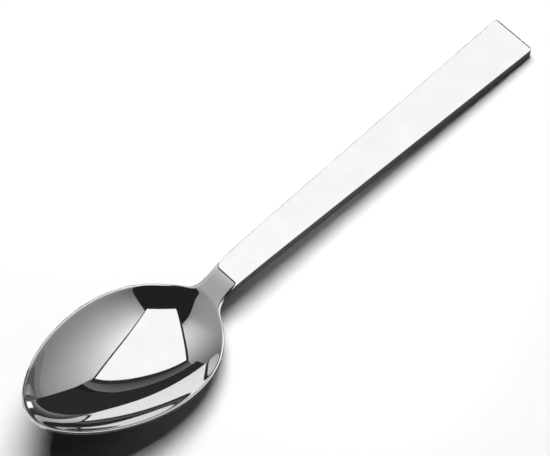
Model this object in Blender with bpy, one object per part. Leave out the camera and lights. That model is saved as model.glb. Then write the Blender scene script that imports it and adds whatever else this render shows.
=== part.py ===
# Place spoon: an egg-shaped bowl with a tang, brazed into a flat bar handle with a square end.
# The pieces are drawn in the handle's own frame: x runs from the square end to the tip of the bowl, y across,
# and z = 0 is the flat top of the handle. The parent empty then tilts them to lie as a spoon on a table does.

import math

import bmesh
import bpy
import numpy as np

MM = 0.001

# Overall sizes
HANDLE_LENGTH = 105.0 * MM
NECK_LENGTH = 11.7 * MM
BOWL_LENGTH = 63.3 * MM
BOWL_WIDTH = 39.4 * MM
BOWL_DEPTH = 9.4 * MM

# Handle bar
END_WIDTH = 13.3 * MM
NECK_WIDTH = 8.7 * MM
END_THICKNESS = 4.0 * MM
NECK_THICKNESS = 3.2 * MM
EDGE_RADIUS = 0.45 * MM
# How late along the bar its underside rises: 1 is an even taper, higher keeps the bar thick for longer.
TAPER_POWER = 5

# Neck and rim, as heights from the plane of the handle's top
WAIST_WIDTH = 8.0 * MM
NECK_DROP = 5.1 * MM
TIP_RISE = 8.5 * MM
RIM_SLOPE_REAR = 0.14
RIM_SLOPE_TIP = 0.325

# Places along the neck, as shares of its length from the handle
WALL_START_SHARE = 0.085
DROP_START_SHARE = 0.214
WAIST_SHARE = 0.769
# Places along the bowl, as shares of its length from the neck
RIM_WALL_SHARE = 0.036
DROP_END_SHARE = 0.084
FLOOR_WALL_SHARE = 0.273

# Plan of the bowl: how far its widest place lies towards the handle, how full its sides are, and how softly
# the shoulders run into the neck
EGG_SKEW = 0.168
EGG_FULLNESS = 0.02
SHOULDER_SOFTNESS = 3.14 * MM

# Dish of the bowl
WALL_FULLNESS = 0.35
BROW_SOFTNESS = 0.06
WALL_THICKNESS = 1.2 * MM

# Tang, brazing metal and socket
TANG_LENGTH = 14.0 * MM
TANG_WIDTH = 4.4 * MM
TANG_THICKNESS = 1.2 * MM
TANG_CORNER = 0.3 * MM
BRAZE_THICKNESS = 0.2 * MM
BRAZE_CLEARANCE = 0.15 * MM
JOINT_GAP = 0.3 * MM
CUT_OVERRUN = 1.0 * MM

# Fineness of the facets
DISH_POINTS = 19
BAR_POINTS = 4
CORNER_STEPS = 3
NECK_STATIONS = 10
BAR_STATIONS = 9
BOWL_STEP = math.radians(5.0)
SHARP_ANGLE = math.radians(35.0)

# Search for the tilt at which the spoon lies on a table
TILT_LIMIT = math.radians(15.0)
TILT_STEPS = 60

# Metals
BOWL_STEEL = (0.62, 0.61, 0.60)
HANDLE_STEEL = (0.63, 0.62, 0.61)
BRAZE_METAL = (0.72, 0.68, 0.58)
BOWL_ROUGHNESS = 0.06
HANDLE_ROUGHNESS = 0.07
BRAZE_ROUGHNESS = 0.35

# Places along the spoon that follow from the sizes above
BOWL_REAR = HANDLE_LENGTH + NECK_LENGTH
SPOON_LENGTH = BOWL_REAR + BOWL_LENGTH
WALL_START = HANDLE_LENGTH + WALL_START_SHARE * NECK_LENGTH
DROP_START = HANDLE_LENGTH + DROP_START_SHARE * NECK_LENGTH
WAIST_PLACE = HANDLE_LENGTH + WAIST_SHARE * NECK_LENGTH
RIM_WALL_END = BOWL_REAR + RIM_WALL_SHARE * BOWL_LENGTH
DROP_END = BOWL_REAR + DROP_END_SHARE * BOWL_LENGTH
FLOOR_WALL_END = BOWL_REAR + FLOOR_WALL_SHARE * BOWL_LENGTH


def clear_scene():
    for obj in list(bpy.data.objects):
        bpy.data.objects.remove(obj)


def make_material(name, colour, roughness):
    material = bpy.data.materials.new(name)
    material.use_nodes = True
    shader = material.node_tree.nodes["Principled BSDF"]
    shader.inputs["Base Color"].default_value = (*colour, 1.0)
    shader.inputs["Roughness"].default_value = roughness
    shader.inputs["Metallic"].default_value = 1.0
    return material


def ramp(x, start, end):
    # Smooth step from 0 at start to 1 at end, level at both.
    t = np.clip((x - start) / (end - start), 0.0, 1.0)
    return t * t * (3.0 - 2.0 * t)


def hermite(x, start, end, height_start, height_end, slope_start, slope_end):
    # Cubic between two places with a given height and slope at each.
    span = end - start
    t = np.clip((x - start) / span, 0.0, 1.0)
    rise = height_start + (height_end - height_start) * t * t * (3.0 - 2.0 * t)
    return rise + span * (slope_start * t * (1.0 - t) ** 2 - slope_end * t * t * (1.0 - t))


def bar_half_width(x):
    return 0.5 * (END_WIDTH + (NECK_WIDTH - END_WIDTH) * x / HANDLE_LENGTH)


def bar_thickness(x):
    return END_THICKNESS - (END_THICKNESS - NECK_THICKNESS) * (x / HANDLE_LENGTH) ** TAPER_POWER


def egg_shape(across):
    # Half-width squared of the rim oval, for a half-width scale of 1. across is -1 at the rear, 1 at the tip.
    # Beyond the ends of the oval the value is negative, which tells how far outside a place lies.
    inside = 1.0 - across**2
    return inside * ((1.0 - EGG_SKEW * across) * (1.0 + EGG_FULLNESS * inside)) ** 2


EGG_PEAK = egg_shape(np.linspace(-1.0, 1.0, 2001)).max()


def egg_squared(x):
    across = 2.0 * (x - BOWL_REAR) / BOWL_LENGTH - 1.0
    return (0.5 * BOWL_WIDTH) ** 2 * egg_shape(across) / EGG_PEAK


def neck_half_width(x):
    flare = 0.5 * (NECK_WIDTH - END_WIDTH) / HANDLE_LENGTH
    return hermite(x, HANDLE_LENGTH, WAIST_PLACE, 0.5 * NECK_WIDTH, 0.5 * WAIST_WIDTH, flare, 0.0)


def outline_half_width(x):
    # Soft larger of the neck and the oval, which rounds the corner between them. The neck fades by mid-bowl.
    fade = ramp(x, BOWL_REAR, BOWL_REAR + 0.5 * BOWL_LENGTH)
    neck = neck_half_width(x) ** 2 * (1.0 - fade)
    oval = egg_squared(x)
    blend = SHOULDER_SOFTNESS**2 * ramp(x, HANDLE_LENGTH, WAIST_PLACE) * (1.0 - fade)
    return np.sqrt(0.5 * (neck + oval + np.sqrt((neck - oval) ** 2 + 4.0 * blend**2)))


def rim_height(x):
    neck = hermite(x, DROP_START, DROP_END, 0.0, -NECK_DROP, 0.0, RIM_SLOPE_REAR)
    rim = hermite(x, DROP_END, SPOON_LENGTH, -NECK_DROP, TIP_RISE, RIM_SLOPE_REAR, RIM_SLOPE_TIP)
    return np.where(x < DROP_END, neck, rim)


def dish_depth(x, y):
    # Share of the way in from the rim, softened so that the neck rolls over into the bowl, then bent by the
    # fullness of the wall.
    share = (egg_squared(x) - y**2) / (0.5 * BOWL_WIDTH) ** 2
    soft = 0.5 * (share + np.sqrt(share**2 + BROW_SOFTNESS**2))
    return BOWL_DEPTH * soft * (1.0 + WALL_FULLNESS * (1.0 - soft))


def wall_thickness(x, side):
    # side is 0 on the middle line and 1 at the edge.
    floor = NECK_THICKNESS + (WALL_THICKNESS - NECK_THICKNESS) * ramp(x, WALL_START, FLOOR_WALL_END)
    edge = NECK_THICKNESS + (WALL_THICKNESS - NECK_THICKNESS) * ramp(x, WALL_START, RIM_WALL_END)
    return floor + (edge - floor) * side**2


def section(x, half_width, top, bottom, corner, points):
    # Closed loop square to x: along the top, round one edge, back along the bottom, round the other edge.
    inner = half_width - corner
    y = np.linspace(-inner, inner, points)
    upper = np.stack([y, top(y)], axis=1)
    lower = np.stack([y, bottom(y)], axis=1)[::-1]
    angle = np.linspace(0.0, 0.5 * math.pi, CORNER_STEPS + 1)[1:]
    out = inner + corner * np.sin(angle)
    round_top = np.stack([out, upper[-1, 1] - corner * (1.0 - np.cos(angle))], axis=1)
    round_bottom = np.stack([out, lower[0, 1] + corner * (1.0 - np.cos(angle))], axis=1)[::-1]
    mirror = np.array([-1.0, 1.0])
    loop = [upper, round_top, round_bottom, lower, round_bottom[::-1] * mirror, round_top[::-1] * mirror]
    flat = np.concatenate(loop)
    return np.column_stack([np.full(len(flat), x), flat])


def level_section(x, half_width, top, bottom, corner, points):
    return section(x, half_width, lambda y: y * 0.0 + top, lambda y: y * 0.0 + bottom, corner, points)


def bowl_section(x):
    half_width = float(outline_half_width(x))
    corner = min(EDGE_RADIUS, 0.5 * half_width)

    def top(y):
        return rim_height(x) + dish_depth(x, half_width - corner) - dish_depth(x, y)

    def bottom(y):
        return top(y) - wall_thickness(x, np.abs(y) / half_width)

    return section(x, half_width, top, bottom, corner, DISH_POINTS)


def loft(name, loops, material):
    # Skin over loops of equal length, closed with a flat face at each end.
    bm = bmesh.new()
    rings = [[bm.verts.new(point) for point in loop] for loop in loops]
    for ring, following in zip(rings, rings[1:]):
        for i, vert in enumerate(ring):
            bm.faces.new([ring[i - 1], vert, following[i], following[i - 1]])
    bm.faces.new(rings[0])
    bm.faces.new(rings[-1])
    bmesh.ops.recalc_face_normals(bm, faces=bm.faces)
    mesh = bpy.data.meshes.new(name)
    bm.to_mesh(mesh)
    bm.free()
    mesh.shade_smooth()
    mesh.set_sharp_from_angle(angle=SHARP_ANGLE)
    mesh.materials.append(material)
    obj = bpy.data.objects.new(name, mesh)
    bpy.context.collection.objects.link(obj)
    return obj


def make_box(name, x_range, width, thickness, material):
    # Box on the tang's middle plane, which is halfway through the bar where it meets the neck.
    bm = bmesh.new()
    bmesh.ops.create_cube(bm, size=1.0)
    bmesh.ops.scale(bm, vec=(x_range[1] - x_range[0], width, thickness), verts=bm.verts)
    middle = (0.5 * (x_range[0] + x_range[1]), 0.0, -0.5 * NECK_THICKNESS)
    bmesh.ops.translate(bm, vec=middle, verts=bm.verts)
    mesh = bpy.data.meshes.new(name)
    bm.to_mesh(mesh)
    bm.free()
    mesh.materials.append(material)
    obj = bpy.data.objects.new(name, mesh)
    bpy.context.collection.objects.link(obj)
    return obj


def cut(target, cutter):
    cutter.hide_render = True
    cutter.display_type = "WIRE"
    boolean = target.modifiers.new(cutter.name, "BOOLEAN")
    boolean.operation = "DIFFERENCE"
    boolean.solver = "EXACT"
    boolean.object = cutter


def make_bowl(material):
    tang_top = -0.5 * (NECK_THICKNESS - TANG_THICKNESS)
    tang_bottom = tang_top - TANG_THICKNESS
    shoulder = HANDLE_LENGTH + JOINT_GAP
    loops = []
    for x in (HANDLE_LENGTH - TANG_LENGTH, shoulder):
        loops.append(level_section(x, 0.5 * TANG_WIDTH, tang_top, tang_bottom, TANG_CORNER, DISH_POINTS))
    for x in np.linspace(shoulder, BOWL_REAR, NECK_STATIONS):
        loops.append(bowl_section(x))
    for angle in np.arange(math.pi - BOWL_STEP, 0.5 * BOWL_STEP, -BOWL_STEP):
        loops.append(bowl_section(BOWL_REAR + 0.5 * BOWL_LENGTH * (1.0 + math.cos(angle))))
    return loft("bowl", loops, material)


def make_handle(material):
    # The first stations round the edge of the square end, and the rest run along the bar.
    stations = []
    for angle in np.linspace(0.5 * math.pi, 0.0, CORNER_STEPS + 1):
        x = EDGE_RADIUS * (1.0 - math.sin(angle))
        inset = EDGE_RADIUS * (1.0 - math.cos(angle))
        stations.append((x, inset))
    for x in np.linspace(EDGE_RADIUS, HANDLE_LENGTH, BAR_STATIONS + 1)[1:]:
        stations.append((x, 0.0))
    loops = []
    for x, inset in stations:
        half_width = bar_half_width(x) - inset
        bottom = inset - bar_thickness(x)
        loops.append(level_section(x, half_width, -inset, bottom, EDGE_RADIUS, BAR_POINTS))
    return loft("handle", loops, material)


def braze_box(name, wall, overrun, material):
    # Box round the tang, set off by wall on every side and running past the joint face by overrun.
    x_range = (HANDLE_LENGTH - TANG_LENGTH - wall, HANDLE_LENGTH + overrun)
    return make_box(name, x_range, TANG_WIDTH + 2.0 * wall, TANG_THICKNESS + 2.0 * wall, material)


def lie_on_table(pieces):
    # Tilts and lifts the spoon so that the end of the handle and the belly of the bowl both touch z = 0.
    points = [np.array([vert.co for vert in piece.data.vertices]) for piece in pieces]
    low = 0.0
    high = TILT_LIMIT
    for _ in range(TILT_STEPS):
        tilt = 0.5 * (low + high)
        bowl_low, handle_low = (lowest(cloud, tilt) for cloud in points)
        if bowl_low < handle_low:
            low = tilt
        else:
            high = tilt
    along = np.concatenate([cloud[:, 0] * math.cos(tilt) - cloud[:, 2] * math.sin(tilt) for cloud in points])
    frame = bpy.data.objects.new("spoon_frame", None)
    bpy.context.collection.objects.link(frame)
    frame.rotation_euler = (0.0, -tilt, 0.0)
    frame.location = (-0.5 * (along.min() + along.max()), 0.0, -min(lowest(cloud, tilt) for cloud in points))
    return frame


def lowest(cloud, tilt):
    return (cloud[:, 0] * math.sin(tilt) + cloud[:, 2] * math.cos(tilt)).min()


def build():
    clear_scene()
    bowl_steel = make_material("polished_stainless_bowl", BOWL_STEEL, BOWL_ROUGHNESS)
    handle_steel = make_material("polished_stainless_handle", HANDLE_STEEL, HANDLE_ROUGHNESS)
    braze_metal = make_material("silver_braze", BRAZE_METAL, BRAZE_ROUGHNESS)

    bowl = make_bowl(bowl_steel)
    handle = make_handle(handle_steel)
    film_inside = BRAZE_CLEARANCE
    film_outside = film_inside + BRAZE_THICKNESS
    film = braze_box("braze_film", film_outside, 0.0, braze_metal)
    film_core = braze_box("film_core_cutter", film_inside, CUT_OVERRUN, braze_metal)
    socket = braze_box("socket_cutter", film_outside + BRAZE_CLEARANCE, CUT_OVERRUN, handle_steel)
    cut(film, film_core)
    cut(handle, socket)

    frame = lie_on_table([bowl, handle])
    for piece in (bowl, handle, film, film_core, socket):
        piece.parent = frame


build()
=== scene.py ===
import math

import bpy
import numpy as np
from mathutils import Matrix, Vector
from numpy.polynomial.polynomial import polyval


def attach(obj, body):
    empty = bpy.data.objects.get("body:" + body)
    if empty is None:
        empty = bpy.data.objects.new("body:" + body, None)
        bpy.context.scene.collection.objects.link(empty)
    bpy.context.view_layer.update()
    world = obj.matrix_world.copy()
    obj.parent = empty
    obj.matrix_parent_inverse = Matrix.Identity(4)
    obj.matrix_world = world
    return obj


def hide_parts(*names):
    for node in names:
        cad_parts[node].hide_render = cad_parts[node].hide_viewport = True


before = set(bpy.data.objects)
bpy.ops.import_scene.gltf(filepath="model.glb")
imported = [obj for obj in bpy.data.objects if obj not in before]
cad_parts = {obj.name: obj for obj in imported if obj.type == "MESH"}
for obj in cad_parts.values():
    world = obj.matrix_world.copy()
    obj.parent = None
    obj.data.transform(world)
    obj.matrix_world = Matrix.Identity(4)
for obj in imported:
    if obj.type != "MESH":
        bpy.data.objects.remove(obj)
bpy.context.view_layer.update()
print("frame loaded:", sorted(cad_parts))

# Every piece is drawn in millimetres in the handle's own frame: x from the square end to the tip of
# the bowl, y across, z = 0 on the flat top of the handle. The spoon then lies on the table, tilted.
mm = 0.001
perMetre = 1000.0  # millimetres in a metre, for the scale of a pattern
lying = {"tilt": math.radians(3.66935), "shift": -89.539, "lift": 3.963}
sharpAngle = math.radians(40.0)  # an edge that turns by more than this is shaded crisp


def onTable(points):
    # Turns handle-frame millimetres about y by the tilt, lifts them onto z = 0, and gives metres.
    x, y, z = points[..., 0], points[..., 1], points[..., 2]
    along, up = math.cos(lying["tilt"]), math.sin(lying["tilt"])
    placed = [x * along - z * up + lying["shift"], y, x * up + z * along + lying["lift"]]
    return np.stack(placed, -1) * mm


def easeBetween(x, start, end):
    # 0 before start, 1 after end, a cubic with level ends between.
    t = np.clip((x - start) / (end - start), 0.0, 1.0)
    return t * t * (3.0 - 2.0 * t)


def cubicBetween(x, start, end, heightA, heightB, slopeA, slopeB):
    # Cubic with a given height and slope at each end.
    span = end - start
    t = np.clip((x - start) / span, 0.0, 1.0)
    rise = heightA + (heightB - heightA) * t * t * (3.0 - 2.0 * t)
    return rise + span * (slopeA * t * (1.0 - t) ** 2 - slopeB * t * t * (1.0 - t))


def softPositive(value, softness):
    # The value where it is well above 0, 0 where it is well below, with a rounded knee between.
    return 0.5 * (value + np.sqrt(value**2 + softness**2))


handle = {
    "length": 105.0,
    "endPlace": -0.4,  # x of the square end
    "endWidth": 13.6,
    "neckWidth": 8.68,
    "endThickness": 4.0,
    "neckThickness": 3.2,
    "taperPower": 5,  # higher keeps the bar thick for longer
    "sideLean": 2.0,  # degrees that the sides lean in towards the underside
    "edgeRadius": 0.2,  # the long edges were left crisp
    "endRadius": 0.6,  # the edge of the square end is eased further
    "cornerRadius": 1.2,  # in plan, at the square end
    "bendStart": 93.0,  # from here the bar bends down a little towards the neck
    "bendEnd": 106.0,  # here the drop of the neck takes over
    "bendDrop": 0.352,
    "socketLength": 14.5,
    "socketWidth": 5.4,
    "socketThickness": 2.2,
    "socketRadius": 0.2,
    "stations": 90,  # rings along the bar
    "cornerStations": 25,  # rings round the corners of the square end
    "edgeSteps": 9,  # points round each long edge
    "flatShares": (0.04, 0.5, 0.96),  # points across each flat, closest where it meets an edge
}


def barHalfWidth(x):
    # Straight taper from the square end to the neck.
    taper = handle["neckWidth"] - handle["endWidth"]
    return 0.5 * (handle["endWidth"] + taper * x / handle["length"])


def barThickness(x):
    # Thickest at the square end, thinning by a power of the place along the bar.
    thinning = handle["endThickness"] - handle["neckThickness"]
    place = np.maximum(x / handle["length"], 0.0)
    return handle["endThickness"] - thinning * place ** handle["taperPower"]


def barBend(x):
    # Height of the bar's top: level, then down by a parabola to where the neck's drop starts.
    bend = np.maximum(x - handle["bendStart"], 0.0) / (handle["bendEnd"] - handle["bendStart"])
    return -handle["bendDrop"] * bend**2


def barRings(x, halfWidth, top, bottom, radius, lean):
    # Rounded rectangle across the bar at each x: four quarter circles with flats between, the sides
    # leaning in towards the underside.
    x, halfWidth, top, bottom = (
        np.reshape(value, (-1, 1, 1)) for value in (x, halfWidth, top, bottom)
    )
    across, up = np.array([[1], [-1], [-1], [1]]), np.array([[1], [1], [-1], [-1]])
    quarter = easeBetween(np.linspace(0.0, 1.0, handle["edgeSteps"]), 0.0, 1.0)
    angle = 0.5 * math.pi * (np.arange(4)[:, None] + quarter)
    z = 0.5 * (top + bottom) + up * (0.5 * (top - bottom) - radius) + radius * np.sin(angle)
    y = across * (halfWidth - radius - math.tan(lean) * (top - z)) + radius * np.cos(angle)
    corners = np.stack([np.broadcast_to(x, y.shape), y, z], -1)
    last, following = corners[:, :, -1:], np.roll(corners, -1, axis=1)[:, :, :1]
    flats = last + np.array(handle["flatShares"])[:, None] * (following - last)
    return np.concatenate([corners, flats], axis=2).reshape(len(corners), -1, 3)


def handleRings():
    # Rings from the square end to the joint, then in over the joint face and back along the blind
    # socket. At the square end they step in by a quarter circle in plan and by a smaller one on the
    # top and bottom edges.
    end, corner = handle["endRadius"], handle["cornerRadius"]
    turn = np.linspace(0.0, 1.0, handle["cornerStations"]) ** 2 * 0.5 * math.pi
    straight = np.linspace(corner, handle["length"], handle["stations"])[1:]
    back = np.append(corner * (1.0 - np.cos(turn)), straight)
    wide = corner * (1.0 - np.sqrt(1.0 - np.maximum(1.0 - back / corner, 0.0) ** 2))
    deep = end * (1.0 - np.sqrt(1.0 - np.maximum(1.0 - back / end, 0.0) ** 2))
    x = back + handle["endPlace"] * (1.0 - back / handle["length"])
    lean = math.radians(handle["sideLean"])
    top, bottom = barBend(x) - deep, barBend(x) + deep - barThickness(x)
    bar = barRings(x, barHalfWidth(x) - wide, top, bottom, handle["edgeRadius"], lean)
    middle, high = -0.5 * handle["neckThickness"], 0.5 * handle["socketThickness"]
    x = handle["length"] - np.array([0.0, handle["socketLength"]])
    wide = np.full(2, 0.5 * handle["socketWidth"])
    top, bottom = np.full(2, middle + high), np.full(2, middle - high)
    socket = barRings(x, wide, top, bottom, handle["socketRadius"], 0.0)
    return np.concatenate([bar, socket])


# What grows, fades or thins does so between the two places along x that its key gives.
bowl = {
    "neckLength": 11.7,
    "length": 63.3,
    "width": 39.4,
    "depth": 10.899,
    "waistWidth": 7.5,
    "waistPlace": 114.0,
    "dropEnd": 122.5,
    "neckDrop": 5.1,
    "tipRise": 8.5,
    "rimSlopeRear": 0.14,
    "rimSlopeTip": 0.325,
    "eggSkew": 0.168,  # how far the widest place lies towards the handle
    "eggFullness": 0.02,
    "shoulderSoftness": 4.5,
    "shoulderReach": 0.8,  # share of the bowl over which the neck fades out of its outline
    # how the dish changes along the bowl, as a polynomial of the place from -1 (rear) to 1 (tip)
    "swell": (0.912, 0.103, 0.267, 0.138),
    "fullness": (0.129, -0.080, -0.072),
    "bulge": (-0.030, 0.098, 0.316),
    "browSoftness": 0.059,
    "rimInset": 0.45,  # the dish meets the height of the rim this far in from the outline
    "landWidth": 0.5,  # the ground flat on top of the rim, with its rounded outer edge
    "landSoftness": 0.1,
    "landGrows": (116.5, 121.0),
    "landMargin": 0.4,  # the spokes end this far inside the land, where finer steps take over
    "lipRadius": 0.28,
    "lipShares": (0.5, 0.45),  # most of the thickness that its upper and lower rounding may take
    "lipGrows": (112.0, 121.0),
    "leanFades": (110.0, 122.0),  # the lean of the handle's sides runs on into the neck
    "crownWidth": 1.1,  # along the neck the top rolls off over this width
    "crownSlope": 0.75,  # reached at the very edge of the neck
    "crownGrows": (105.0, 115.0),
    "crownFades": (117.0, 122.0),
    "floorWall": 0.92,
    "floorThins": (106.0, 134.0),
    "rimWall": 0.95,
    "rimThins": (106.0, 119.0),
    "tipWall": 0.3,  # share of the bowl, at the tip, over which the floor takes the rim's wall
    "tangLength": 14.0,
    "tangWidth": 4.4,
    "tangThickness": 1.2,
    "seam": 0.003,  # hairline left at the joint after it was polished flush
    "spokeReach": 14.0,  # the spokes at the tip start this far back from it, on the middle line
    "spokeSlope": 20.0,  # how fast their starts still move along there
    "rows": 260,
    "topColumns": 64,
    "topCrowding": 1.5,  # above 1 draws the columns towards the rim
    "landColumns": 10,
    "lipColumns": 11,
    "sideShares": (0.06, 0.5, 0.94),  # points down the side, between its rounded edges
    "underColumns": 40,
    "underCrowding": 0.8,  # below 1 does so underneath
}
bowlRear = handle["length"] + bowl["neckLength"]
bowlTip = bowlRear + bowl["length"]


def eggShape(across):
    # Half-width squared of an egg with its ends at -1 and 1: an ellipse, leant to one end and
    # filled at the sides.
    inside = 1.0 - across**2
    return inside * ((1.0 - bowl["eggSkew"] * across) * (1.0 + bowl["eggFullness"] * inside)) ** 2


eggPeak = eggShape(np.linspace(-1.0, 1.0, 2001)).max()  # the widest place, found by sampling


def eggSquared(x):
    # The egg at the bowl's own length and width, as a half-width squared.
    across = 2.0 * (x - bowlRear) / bowl["length"] - 1.0
    return (0.5 * bowl["width"]) ** 2 * eggShape(across) / eggPeak


def outlineHalfWidth(x):
    # Soft larger of the neck and the egg, both as half-widths squared, with the neck fading out
    # along the bowl.
    joint, waist = handle["length"], bowl["waistPlace"]
    fade = easeBetween(x, bowlRear, bowlRear + bowl["shoulderReach"] * bowl["length"])
    flare = 0.5 * (handle["neckWidth"] - handle["endWidth"]) / handle["length"]
    jointHalf, waistHalf = 0.5 * handle["neckWidth"], 0.5 * bowl["waistWidth"]
    neck = cubicBetween(x, joint, waist, jointHalf, waistHalf, flare, 0.0)
    neck = neck**2 * (1.0 - fade)
    egg = eggSquared(x)
    blend = bowl["shoulderSoftness"] ** 2 * easeBetween(x, joint, waist) * (1.0 - fade)
    squared = 0.5 * (neck + egg + np.sqrt((neck - egg) ** 2 + 4.0 * blend**2))
    return np.sqrt(np.maximum(squared, 0.0))


def rimHeight(x):
    # On from the handle's bend, down an S through the neck, then a rising curve to the tip.
    start, end, drop = handle["bendEnd"], bowl["dropEnd"], bowl["neckDrop"]
    rear, tip = bowl["rimSlopeRear"], bowl["rimSlopeTip"]
    bendSlope = -2.0 * handle["bendDrop"] / (start - handle["bendStart"])
    neck = cubicBetween(x, start, end, -handle["bendDrop"], -drop, bendSlope, rear)
    rim = cubicBetween(x, end, bowlTip, -drop, bowl["tipRise"], rear, tip)
    return np.where(x < start, barBend(x), np.where(x < end, neck, rim))


def dishDepth(x, y):
    # Depth of the pressed dish: the share of the way in from the outline, softened at the brow,
    # times a swell that changes along the bowl, and bent by how full the wall is and by a bulge
    # low on it.
    along = 2.0 * (x - bowlRear) / bowl["length"] - 1.0
    share = eggShape(along) / eggPeak - (2.0 * y / bowl["width"]) ** 2
    soft = softPositive(share, bowl["browSoftness"])
    fullness = polyval(along, bowl["fullness"]) * (1.0 - soft)
    bulge = polyval(along, bowl["bulge"]) * (1.0 - soft) * (1.0 - 2.0 * soft)
    return bowl["depth"] * polyval(along, bowl["swell"]) * soft * (1.0 + fullness + bulge)


def dishBase(x):
    # Height from which the dish hangs, so that it meets the rim a little way in from the outline.
    return rimHeight(x) + dishDepth(x, np.maximum(outlineHalfWidth(x) - bowl["rimInset"], 0.0))


def dishHeight(x, y):
    # The base less the depth of the dish.
    return dishBase(x) - dishDepth(x, y)


def underHeight(x, y):
    # The dish let down by the wall: thick at the neck and thin in the bowl, measured square to it.
    step, leastWidth = 0.05, 0.01
    slopeX = (dishHeight(x + step, y) - dishHeight(x - step, y)) / (2.0 * step)
    slopeY = (dishHeight(x, y + step) - dishHeight(x, y - step)) / (2.0 * step)
    side = np.clip(np.abs(y) / np.maximum(outlineHalfWidth(x), leastWidth), 0.0, 1.0)
    neckWall = handle["neckThickness"]
    floorWall = neckWall + (bowl["floorWall"] - neckWall) * easeBetween(x, *bowl["floorThins"])
    rimWall = neckWall + (bowl["rimWall"] - neckWall) * easeBetween(x, *bowl["rimThins"])
    tip = easeBetween(x, bowlTip - bowl["tipWall"] * bowl["length"], bowlTip)
    wall = floorWall + (rimWall - floorWall) * np.maximum(side**2, tip)
    return dishHeight(x, y) - wall * np.sqrt(1.0 + slopeX**2 + slopeY**2)


def bowlHalf():
    # Half of the bowl as a grid: u runs along the outline from the joint to the tip, v along a
    # spoke from the middle line over the dish, the land and the lip, and back under to it.
    u = np.linspace(0.0, 1.0, bowl["rows"])
    start = handle["length"] + bowl["seam"]
    span = bowlTip - start
    edgeX = start + span * np.sin(0.5 * math.pi * u)
    edgeY = outlineHalfWidth(edgeX)
    edgeY[-1] = 0.0
    tangentX, tangentY = np.gradient(edgeX, u), np.gradient(edgeY, u)
    tangentX[0], tangentY[0] = 1.0, 0.0
    tangentX[-1], tangentY[-1] = 0.0, -1.0
    size = np.hypot(tangentX, tangentY)
    slopes = (0.5 * math.pi * span, bowl["spokeSlope"])
    middleX = cubicBetween(u, 0.0, 1.0, start, bowlTip - bowl["spokeReach"], *slopes)[:, None]
    edgeX, edgeY = edgeX[:, None], edgeY[:, None]
    normalX, normalY = (-tangentY / size)[:, None], (tangentX / size)[:, None]

    def planAt(inset):
        # The outline set in by that much, square to itself.
        return edgeX - inset * normalX, edgeY - inset * normalY

    def spoke(share, inset):
        # Straight from the middle line to the outline set in by that much.
        endX, endY = planAt(inset)
        return middleX + share * (endX - middleX), share * endY

    fade = easeBetween(edgeX, *bowl["landGrows"])
    land = dishDepth(*planAt(bowl["landWidth"])) * fade
    knee = bowl["landSoftness"] * fade

    def topHeight(x, y, inset):
        # The dish cut off level by the ground land of the rim, with a rounded knee between, and
        # rolled off by a cubic along the edges of the neck.
        cut = dishBase(x) - land - softPositive(dishDepth(x, y) - land, knee)
        slope = bowl["crownSlope"] * easeBetween(x, *bowl["crownGrows"])
        slope = slope * (1.0 - easeBetween(x, *bowl["crownFades"]))
        near = np.maximum(1.0 - inset / bowl["crownWidth"], 0.0)
        return cut - slope * bowl["crownWidth"] / 3.0 * near**3

    widening = bowl["lipRadius"] - handle["edgeRadius"]
    radius = handle["edgeRadius"] + widening * easeBetween(edgeX, *bowl["lipGrows"])
    lean = math.tan(math.radians(handle["sideLean"]))
    lean = lean * (1.0 - easeBetween(edgeX, *bowl["leanFades"]))
    topEdge = topHeight(*planAt(radius), radius)
    under = radius + lean * (topEdge - underHeight(*planAt(radius)))
    underEdge = underHeight(*planAt(under))
    thickness = topEdge - underEdge
    upper, lower = (np.minimum(radius, most * thickness) for most in bowl["lipShares"])
    rounding = 0.5 * math.pi * easeBetween(np.linspace(0.0, 1.0, bowl["lipColumns"]), 0.0, 1.0)
    down, back = rounding[1:], rounding[:0:-1]

    grids = []
    inner = bowl["landWidth"] + bowl["landMargin"]
    share = 1.0 - (1.0 - np.linspace(0.0, 1.0, bowl["topColumns"])) ** bowl["topCrowding"]
    x, y = spoke(share, inner)
    grids.append((x, y, topHeight(x, y, inner + (1.0 - share) * y[:, -1:])))
    steps = np.linspace(1.0 / bowl["landColumns"], 1.0, bowl["landColumns"])
    inset = inner + (radius - inner) * steps
    grids.append((*planAt(inset), topHeight(*planAt(inset), inset)))
    z = topEdge - upper * (1.0 - np.cos(down))
    grids.append((*planAt(radius * (1.0 - np.sin(down)) + lean * (topEdge - z)), z))
    side = underEdge + lower - topEdge + upper
    z = topEdge - upper + side * np.array(bowl["sideShares"])
    grids.append((*planAt(lean * (topEdge - z)), z))
    z = underEdge + lower * (1.0 - np.cos(back))
    grids.append((*planAt(radius * (1.0 - np.sin(back)) + lean * (topEdge - z)), z))
    x, y = spoke(np.linspace(1.0, 0.0, bowl["underColumns"]) ** bowl["underCrowding"], under)
    grids.append((x, y, underHeight(x, y)))
    return np.concatenate([np.stack(grid, -1) for grid in grids], axis=1)


def quadsOf(index):
    # Four-sided faces between the neighbouring places of a grid of vertex numbers.
    corners = [index[:-1, :-1], index[1:, :-1], index[1:, 1:], index[:-1, 1:]]
    return np.stack(corners, -1).reshape(-1, 4)


def addMesh(name, points, faces, material):
    # An object at the origin, with its place in its mesh.
    mesh = bpy.data.meshes.new(name)
    mesh.from_pydata(np.asarray(points).tolist(), [], faces)
    mesh.materials.append(material)
    obj = bpy.data.objects.new(name, mesh)
    bpy.context.scene.collection.objects.link(obj)
    return obj


def makePiece(name, points, faces, material):
    # A piece of the spoon laid on the table, shaded smooth between its crisp edges.
    piece = addMesh(name, onTable(points), faces, material)
    piece.data.validate()
    piece.data.shade_smooth()
    piece.data.set_sharp_from_angle(angle=sharpAngle)
    return piece


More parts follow.
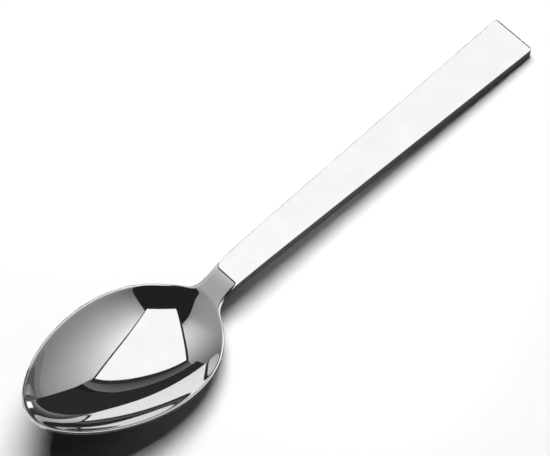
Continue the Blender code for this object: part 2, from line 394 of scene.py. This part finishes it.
def addNode(tree, kind, inputs=None, **settings):
    # One node with its settings; an input is a value, or another node's output to link.
    node = tree.nodes.new(kind)
    for name, value in settings.items():
        setattr(node, name, value)
    for key, value in (inputs or {}).items():
        if isinstance(value, bpy.types.NodeSocket):
            tree.links.new(value, node.inputs[key])
        else:
            node.inputs[key].default_value = value
    return node


def hexColour(text):
    # sRGB hex to the linear values that Blender's sockets take.
    parts = [int(text[i : i + 2], 16) / 255.0 for i in (1, 3, 5)]
    linear = [p / 12.92 if p <= 0.04045 else ((p + 0.055) / 1.055) ** 2.4 for p in parts]
    return (*linear, 1.0)


def newMaterial(name):
    # A material with an empty node tree.
    material = bpy.data.materials.new(name)
    material.use_nodes = True
    material.node_tree.nodes.clear()
    return material, material.node_tree


polish = {
    "bright": "#E8E8E8",
    "dull": "#E3E3E4",
    "lineLength": 9.0,  # mm, polishing lines along the spoon
    "lineWidth": 0.5,  # mm; real lines are too fine to show, so they are drawn this coarse
    "lineDetail": 3.0,
    "lineDepth": 2.5e-7,  # metres
    "hazeSize": 7.0,  # mm, patches where the buff left a little haze
    "hazeDetail": 4.0,
    "dullRange": (0.35, 0.7),  # of the haze, from bright to dull
    "roughRange": (0.3, 0.75),  # of the haze, from clear to hazy
    "clear": 0.02,
    "hazy": 0.05,
}


def polishedSteel(name):
    # Stainless steel, buffed to a mirror: cool and neutral, with faint lengthwise lines and soft
    # patches of haze.
    material, tree = newMaterial(name)
    place = addNode(tree, "ShaderNodeTexCoord").outputs["Object"]
    fine = perMetre / polish["lineWidth"]
    lineScale = (perMetre / polish["lineLength"], fine, fine)
    drawn = addNode(tree, "ShaderNodeMapping", {"Vector": place, "Scale": lineScale})
    lines = addNode(
        tree,
        "ShaderNodeTexNoise",
        {"Vector": drawn.outputs["Vector"], "Scale": 1.0, "Detail": polish["lineDetail"]},
    )
    haze = addNode(
        tree,
        "ShaderNodeTexNoise",
        {"Vector": place, "Scale": perMetre / polish["hazeSize"], "Detail": polish["hazeDetail"]},
    )
    ramp = addNode(tree, "ShaderNodeValToRGB", {"Fac": haze.outputs["Fac"]})
    stops = zip(ramp.color_ramp.elements, polish["dullRange"], (polish["bright"], polish["dull"]))
    for stop, position, colour in stops:
        stop.position = position
        stop.color = hexColour(colour)
    rough = addNode(
        tree,
        "ShaderNodeMapRange",
        {
            "Value": haze.outputs["Fac"],
            "From Min": polish["roughRange"][0],
            "From Max": polish["roughRange"][1],
            "To Min": polish["clear"],
            "To Max": polish["hazy"],
        },
    )
    bump = addNode(
        tree,
        "ShaderNodeBump",
        {"Height": lines.outputs["Fac"], "Strength": 1.0, "Distance": polish["lineDepth"]},
    )
    shader = addNode(
        tree,
        "ShaderNodeBsdfPrincipled",
        {
            "Base Color": ramp.outputs["Color"],
            "Metallic": 1.0,
            "Roughness": rough.outputs["Result"],
            "Normal": bump.outputs["Normal"],
        },
    )
    addNode(tree, "ShaderNodeOutputMaterial", {"Surface": shader.outputs["BSDF"]})
    return material


braze = {
    "pale": "#DCD6C6",
    "dark": "#BDB49D",
    "crustSize": 2.0 / 3.0,  # mm
    "crustDetail": 4.0,
    "crustDepth": 2e-5,  # metres
    "roughness": 0.4,
}


def brazeMetal():
    # Silver brazing alloy, as it flowed: a pale warm metal with a dull, slightly crusted skin.
    material, tree = newMaterial("silver_braze_as_flowed")
    place = addNode(tree, "ShaderNodeTexCoord").outputs["Object"]
    crust = addNode(
        tree,
        "ShaderNodeTexNoise",
        {"Vector": place, "Scale": perMetre / braze["crustSize"], "Detail": braze["crustDetail"]},
    )
    ramp = addNode(tree, "ShaderNodeValToRGB", {"Fac": crust.outputs["Fac"]})
    ramp.color_ramp.elements[0].color = hexColour(braze["pale"])
    ramp.color_ramp.elements[1].color = hexColour(braze["dark"])
    skin = {"Height": crust.outputs["Fac"], "Distance": braze["crustDepth"]}
    bump = addNode(tree, "ShaderNodeBump", skin)
    shader = addNode(
        tree,
        "ShaderNodeBsdfPrincipled",
        {
            "Base Color": ramp.outputs["Color"],
            "Metallic": 1.0,
            "Roughness": braze["roughness"],
            "Normal": bump.outputs["Normal"],
        },
    )
    addNode(tree, "ShaderNodeOutputMaterial", {"Surface": shader.outputs["BSDF"]})
    return material


bowlSteel = polishedSteel("mirror_polished_stainless_bowl")
handleSteel = polishedSteel("mirror_polished_stainless_handle")
print("materials made")

# The bowl: both halves of the grid share the middle line and the tip, and the tang runs on from the
# joint.
half = bowlHalf()
rows, columns = half.shape[:2]
left = np.arange(rows * columns).reshape(rows, columns)
right = left + rows * columns
right[:, 0], right[:, -1], right[-1, :] = left[:, 0], left[:, -1], left[-1, :]
mirrored = half * np.array([1.0, -1.0, 1.0])
points = np.concatenate([half.reshape(-1, 3), mirrored.reshape(-1, 3)])
mouth = np.concatenate([left[0], right[0][-2:0:-1]])
tangMiddle = np.array([0.0, 0.0, -0.5 * handle["neckThickness"]])
ring = (points[mouth] - tangMiddle) * np.array([0.0, 1.0, 1.0])
tangSize = 0.5 * np.array([bowl["tangWidth"], bowl["tangThickness"]])
ring /= (np.abs(ring[:, 1:]) / tangSize).max(axis=1)[:, None]
tangEnds = (handle["length"] + bowl["seam"], handle["length"] - bowl["tangLength"])
tang = [ring + tangMiddle + np.array([x, 0.0, 0.0]) for x in tangEnds]
rings = [mouth, len(points) + np.arange(len(mouth))]
rings.append(rings[1] + len(mouth))
points = np.concatenate([points, *tang])
closed = np.array([np.append(r, r[0]) for r in rings])
faces = np.concatenate([quadsOf(left), quadsOf(right)[:, ::-1], quadsOf(closed)[:, ::-1]])
used, renumbered = np.unique(np.append(faces.ravel(), rings[-1]), return_inverse=True)
cap = renumbered[faces.size :].tolist()
faces = renumbered[: faces.size].reshape(-1, 4).tolist() + [cap]
bowlPiece = makePiece("bowl_polished", points[used], faces, bowlSteel)
print("bowl made:", len(faces), "faces")

# The handle: the rings closed round, the square end and the bottom of the socket capped.
rings = handleRings()
index = np.arange(rings.shape[0] * rings.shape[1]).reshape(rings.shape[:2])
wrapped = np.concatenate([index, index[:, :1]], axis=1)
faces = quadsOf(wrapped).tolist() + [index[0].tolist(), index[-1][::-1].tolist()]
handlePiece = makePiece("handle_polished", rings.reshape(-1, 3), faces, handleSteel)
print("handle made:", len(faces), "faces")

for piece, node, slot in (
    (bowlPiece, "bowl", "bowl_steel"),
    (handlePiece, "handle", "handle_steel"),
):
    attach(piece, "root")
    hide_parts(node)
bowlPiece.visible_diffuse = False  # its shadow on the table stays deep, with no light thrown back
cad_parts["braze_film"].material_slots[0].material = brazeMetal()

# The studio, measured in metres from the bowl: towards is the way to the camera, beside is to its
# right.
view = {
    "azimuth": 44.8956,
    "elevation": 60.8997,
    "distance": 1.5,
    "lens": 370.174,
    "sensor": 36.0,
    "clipEnd": 20.0,
    "aim": (-0.0033186, -0.0049265, 0.0),
}
turn = math.radians(view["azimuth"])
towards = np.array([math.cos(turn), math.sin(turn), 0.0])
beside = np.array([-math.sin(turn), math.cos(turn), 0.0])
above = np.array([0.0, 0.0, 1.0])
setCentre = np.array([0.055, 0.0, 0.01])
white = hexColour("#FFFFFF")
fourSides = [(0, 1, 2, 3)]


def setPoint(forward, sideways, height):
    # The bowl's place, plus that much towards the camera, to its right and up.
    return setCentre + forward * towards + sideways * beside + height * above


def showToSteelOnly(obj):
    # Mirrored rays still meet it, and the camera's and the light's pass through.
    obj.visible_camera = obj.visible_diffuse = False
    obj.visible_shadow = obj.visible_transmission = False


def stageCard(name, points, faces, uv, glow):
    # A card that only the steel sees. Its glow is a level, plus what it gains across, up, towards
    # its far corner and with the squares of up and across, and never less than its least.
    material, tree = newMaterial(name + "_card")
    obj = addMesh(name, points, faces, material)
    showToSteelOnly(obj)
    layer = obj.data.uv_layers.new(name="card")
    corners = np.empty(len(obj.data.loops), int)
    obj.data.loops.foreach_get("vertex_index", corners)
    layer.data.foreach_set("uv", np.asarray(uv, float)[corners].ravel())
    place = addNode(tree, "ShaderNodeUVMap", uv_map="card")
    parts = addNode(tree, "ShaderNodeSeparateXYZ", {"Vector": place.outputs["UV"]})
    across, up = parts.outputs["X"], parts.outputs["Y"]
    terms = {
        "across": (across, 1.0),
        "up": (up, 1.0),
        "corner": (across, up),
        "upBend": (up, up),
        "acrossBend": (across, across),
    }
    level = glow["level"]
    for key, (first, second) in terms.items():
        if key in glow:
            part = addNode(tree, "ShaderNodeMath", {0: first, 1: second}, operation="MULTIPLY")
            inputs = {0: part.outputs[0], 1: glow[key], 2: level}
            level = addNode(tree, "ShaderNodeMath", inputs, operation="MULTIPLY_ADD").outputs[0]
    if "least" in glow:
        inputs = {0: level, 1: glow["least"]}
        level = addNode(tree, "ShaderNodeMath", inputs, operation="MAXIMUM").outputs[0]
    shine = addNode(tree, "ShaderNodeEmission", {"Color": white, "Strength": level})
    addNode(tree, "ShaderNodeOutputMaterial", {"Surface": shine.outputs["Emission"]})


def quadCard(name, corners, glow):
    # A flat card: across runs from its first corner to its second, up from its first to its last.
    stageCard(name, corners, fourSides, [(0, 0), (1, 0), (1, 1), (0, 1)], glow)


wallGrid = {"columns": 33, "rows": 25}


def wallCard(name, card):
    # Upright card bent round the bowl, between two angles up. Each end is a straight line as the
    # bowl sees it: its way round is the one at the table, less the arcsine of its lean times the
    # tangent of the angle up.
    columns = np.linspace(0.0, 1.0, wallGrid["columns"])
    across, up = np.meshgrid(columns, np.linspace(0.0, 1.0, wallGrid["rows"]))
    rise = np.tan(np.radians(card["low"] + (card["high"] - card["low"]) * up))
    start, end = (
        math.radians(way) - np.arcsin(lean * rise) for way, lean in (card["start"], card["end"])
    )
    around = (start + (end - start) * across)[..., None]
    out = np.cos(around) * towards + np.sin(around) * beside + rise[..., None] * above
    points = setCentre + card["radius"] * out
    index = np.arange(across.size).reshape(across.shape)
    uv = np.stack([across, up], -1).reshape(-1, 2)
    stageCard(name, points.reshape(-1, 3), quadsOf(index).tolist(), uv, card["glow"])


softbox = {
    "glow": 1.17,
    # corners as seen from the bowl: towards the camera and to its right, for each metre up
    "corners": ((0.316, -0.153), (0.407, 0.476), (-1.657, 1.324), (-1.545, -0.839)),
    "height": 0.743,  # straight over the bowl, before the scale
    "tilt": 0.755,  # rise for each metre towards the camera
    "scale": 2.5,  # further off and larger, so that it looks the same
    "frame": 1.09,  # its black frame, as a share of its size
    "frameGap": 0.02,
    "frameGlow": 0.03,
}
softboxCorners = []
for forward, sideways in softbox["corners"]:
    height = softbox["scale"] * softbox["height"] / (1.0 - softbox["tilt"] * forward)
    softboxCorners.append(setPoint(forward * height, sideways * height, height))
boxMiddle = sum(softboxCorners) / 4.0
boxNormal = np.cross(
    softboxCorners[1] - softboxCorners[0], softboxCorners[3] - softboxCorners[0]
)
boxNormal *= np.sign(boxNormal[2]) / np.linalg.norm(boxNormal)
behind = softbox["frameGap"] * boxNormal
frameCorners = [
    boxMiddle + (corner - boxMiddle) * softbox["frame"] + behind for corner in softboxCorners
]
quadCard("softbox", softboxCorners, {"level": softbox["glow"]})
quadCard("softbox_frame", frameCorners, {"level": softbox["frameGlow"]})

# Grey cards to the right and left of the camera, a grey strip behind the spoon, and black drapes
# all round. Angles are in degrees, round from the camera to its right and up from the table.
wallCards = {
    "right_card": {
        "radius": 4.5,
        "low": -0.5,
        "high": 66.0,
        "start": (46.3, -0.088),  # way round at the table, and lean
        "end": (139.6, 0.0),
        "glow": {
            "level": -0.099,
            "across": 0.867,
            "up": 0.187,
            "corner": 0.73,
            "upBend": 0.578,
            "acrossBend": -0.512,
            "least": 0.12,
        },
    },
    "left_card": {
        "radius": 4.5,
        "low": -0.5,
        "high": 72.0,
        "start": (209.7, 0.0),
        "end": (310.9, 0.257),
        "glow": {
            "level": 0.13,
            "across": 0.429,
            "up": 0.629,
            "corner": -1.372,
            "upBend": 0.595,
            "acrossBend": -0.053,
            "least": 0.12,
        },
    },
    "back_strip": {
        "radius": 4.6,
        "low": 18.4,
        "high": 28.6,
        "start": (130.0, 0.0),
        "end": (220.0, 0.0),
        "glow": {"level": 0.17, "up": -0.12, "least": 0.03},
    },
    "drapes": {
        "radius": 6.0,
        "low": -0.5,
        "high": 80.0,
        "start": (0.0, 0.0),
        "end": (360.0, 0.0),
        "glow": {"level": 0.018},
    },
}
for name, card in wallCards.items():
    wallCard(name, card)

# A black flag that stands close behind the spoon, and a black apron on the table before it. Corners
# are towards the camera, to its right and up from the bowl.
blackCards = {
    "black_flag": {
        "corners": (
            (-0.17, -0.094, -0.0099),
            (-0.17, 0.150, -0.0099),
            (-0.17, 0.138, 0.0565),
            (-0.17, -0.094, 0.0565),
        ),
        "glow": {"level": 0.028},
    },
    "black_apron": {
        "corners": (
            (-0.02, -0.094, -0.0096),
            (-0.02, 0.005, -0.0096),
            (-0.17, 0.138, -0.0096),
            (-0.17, -0.094, -0.0096),
        ),
        "glow": {"level": 0.028},
    },
}
for name, card in blackCards.items():
    quadCard(name, [setPoint(*corner) for corner in card["corners"]], card["glow"])

# A bright oval on the table, for the glint at the tip of the bowl.
glint = {
    "middle": (-0.0646, 0.0416),
    "long": (-0.0037, 0.0097),  # half of each axis, towards the camera and to its right
    "short": (0.005, -0.003),
    "height": -0.0094,
    "level": 1.4,
    "points": 24,
}
around = np.linspace(0.0, 2.0 * math.pi, glint["points"], endpoint=False)[:, None]
oval = np.array(glint["middle"])
oval = oval + np.cos(around) * glint["long"] + np.sin(around) * glint["short"]
oval = [setPoint(forward, sideways, glint["height"]) for forward, sideways in oval]
flatMap = np.zeros((glint["points"], 2))
stageCard("glint", oval, [tuple(range(glint["points"]))], flatMap, {"level": glint["level"]})

# Glowing cards that only the steel sees paint light under the bowl and beside the handle,
# for the underside and the far side of the handle to mirror: under the bowl the glow fades towards
# its long edges, and beside the handle it dims towards the neck. Corners are x and y on the table.
glowCards = {
    "under_glow_card": {
        "corners": ((0.028, -0.017), (0.088, -0.017), (0.088, 0.017), (0.028, 0.017)),
        "height": 0.0005,
        "glow": {"level": 0.0, "up": 1.2, "upBend": -1.2, "least": 0.03},
    },
    "side_glow_card": {
        "corners": ((-0.095, -0.075), (0.012, -0.075), (0.012, -0.012), (-0.095, -0.012)),
        "height": 0.0005,
        "glow": {"level": 0.3, "across": -0.42, "acrossBend": 0.15, "least": 0.03},
    },
}
for name, card in glowCards.items():
    quadCard(name, [(x, y, card["height"]) for x, y in card["corners"]], card["glow"])
print("cards made")


def farFromSpoon(tree, near, far):
    # 0 nearer to the origin than near, 1 further off than far, a smooth step between.
    place = addNode(tree, "ShaderNodeTexCoord").outputs["Object"]
    distance = addNode(tree, "ShaderNodeVectorMath", {0: place}, operation="LENGTH")
    inputs = {"Value": distance.outputs["Value"], "From Min": near, "From Max": far}
    step = addNode(tree, "ShaderNodeMapRange", inputs, interpolation_type="SMOOTHSTEP")
    return step.outputs["Result"]


def seenAsBackground(tree):
    # 1 where the camera, a mirror or glass looks at it, 0 where it lights something.
    path = addNode(tree, "ShaderNodeLightPath")
    seen = path.outputs["Is Camera Ray"]
    for kind in ("Is Glossy Ray", "Is Transmission Ray"):
        inputs = {0: seen, 1: path.outputs[kind]}
        seen = addNode(tree, "ShaderNodeMath", inputs, operation="MAXIMUM").outputs[0]
    return seen


def litPaper(name, colour, glow, share):
    # Matt paper that takes the lamps' light, mixed by a share with a plain glow.
    material, tree = newMaterial(name)
    paper = addNode(tree, "ShaderNodeBsdfDiffuse", {"Color": hexColour(colour)})
    plain = addNode(tree, "ShaderNodeEmission", {"Color": white, "Strength": glow})
    shaders = {0: share(tree), 1: paper.outputs["BSDF"], 2: plain.outputs["Emission"]}
    mixed = addNode(tree, "ShaderNodeMixShader", shaders)
    addNode(tree, "ShaderNodeOutputMaterial", {"Surface": mixed.outputs["Shader"]})
    return material


# A grey sheet lies to the right of the spoon in the steel's view. Close by it takes the lamps'
# light and the spoon's shadow, and further off it glows evenly.
greySheet = {
    "corners": ((-4.4, -0.03), (4.4, -0.03), (4.4, 4.4), (-4.4, 4.4)),
    "height": -0.0098,
    "paper": "#5A5A5A",
    "glow": 0.21,
    "litTo": 0.15,
    "glowFrom": 0.22,
}


def sheetShare(tree):
    # The glow takes over with distance.
    return farFromSpoon(tree, greySheet["litTo"], greySheet["glowFrom"])


corners = [setPoint(x, y, greySheet["height"]) for x, y in greySheet["corners"]]
greyPaper = litPaper("grey_paper", greySheet["paper"], greySheet["glow"], sheetShare)
sheet = addMesh("grey_sheet", corners, fourSides, greyPaper)
showToSteelOnly(sheet)

# The lamps light the table and draw the shadow: the key lamp from above, and a weak one close to
# the neck that lightens the handle's shadow. The steel doesn't see them, as the softbox stands for
# them there. The way to a lamp is in degrees, round from the camera to its right and up.
lamps = {
    "key_lamp": {
        "watts": 17.3,
        "way": (182.0, 74.0),
        "distance": 1.2,
        "size": (0.9, 0.9),
        "aim": (0.0, 0.0, 0.0),
    },
    "fill_lamp": {
        "watts": 0.0045,
        "way": (70.0, 40.0),
        "distance": 0.05,
        "size": (0.04, 0.02),
        "aim": (0.002, 0.009, 0.0),
    },
}
for name, values in lamps.items():
    lampData = bpy.data.lights.new(name, "AREA")
    lampData.shape = "ELLIPSE"
    lampData.size, lampData.size_y = values["size"]
    lampData.energy = values["watts"]
    lampData.cycles.use_multiple_importance_sampling = False  # only sampled directly
    lamp = bpy.data.objects.new(name, lampData)
    bpy.context.scene.collection.objects.link(lamp)
    around, upward = (math.radians(a) for a in values["way"])
    level = math.cos(around) * towards + math.sin(around) * beside
    way = Vector(math.cos(upward) * level + math.sin(upward) * above)
    lamp.location = Vector(values["aim"]) + way * values["distance"]
    lamp.rotation_mode = "QUATERNION"
    lamp.rotation_quaternion = way.to_track_quat("Z", "Y")
    lamp.visible_glossy = False
    lamp.visible_camera = False

# A plain white table, lit as it is near the spoon and pure white further off.
table = {
    "reach": 3.0,
    "height": -0.00002,  # just clear of the underside
    "paper": "#FBFBFB",
    "glow": 1.0,
    "litTo": 0.14,
    "whiteFrom": 0.26,
}


def tableShare(tree):
    # The white takes over with distance, and only where the table is looked at.
    inputs = {0: farFromSpoon(tree, table["litTo"], table["whiteFrom"]), 1: seenAsBackground(tree)}
    return addNode(tree, "ShaderNodeMath", inputs, operation="MULTIPLY").outputs[0]


whitePaper = litPaper("matt_white_paper", table["paper"], table["glow"], tableShare)
square = ((-1, -1), (1, -1), (1, 1), (-1, 1))
corners = [(x * table["reach"], y * table["reach"], 0.0) for x, y in square]
tableTop = addMesh("table", corners, fourSides, whitePaper)
tableTop.location.z = table["height"]
print("lamps and table set")

# White where the camera looks past the table, and a little light from the room on the rest.
room = {"light": 0.008, "backdrop": 1.0}
world = bpy.data.worlds.new("studio")
bpy.context.scene.world = world
world.use_nodes = True
tree = world.node_tree
tree.nodes.clear()
dim = addNode(tree, "ShaderNodeBackground", {"Color": white, "Strength": room["light"]})
bright = addNode(tree, "ShaderNodeBackground", {"Color": white, "Strength": room["backdrop"]})
shaders = {0: seenAsBackground(tree), 1: dim.outputs[0], 2: bright.outputs[0]}
mixed = addNode(tree, "ShaderNodeMixShader", shaders)
addNode(tree, "ShaderNodeOutputWorld", {"Surface": mixed.outputs[0]})

cameraData = bpy.data.cameras.new("camera")
cameraData.lens = view["lens"]
cameraData.sensor_width = view["sensor"]
cameraData.clip_end = view["clipEnd"]
camera = bpy.data.objects.new("camera", cameraData)
bpy.context.scene.collection.objects.link(camera)
lift = math.radians(view["elevation"])
back = Vector(math.cos(lift) * towards + math.sin(lift) * above)
camera.location = Vector(view["aim"]) + back * view["distance"]
camera.rotation_mode = "QUATERNION"
camera.rotation_quaternion = back.to_track_quat("Z", "Y")
bpy.context.scene.camera = camera
bpy.context.scene.view_settings.view_transform = "Standard"
print("room and camera set")
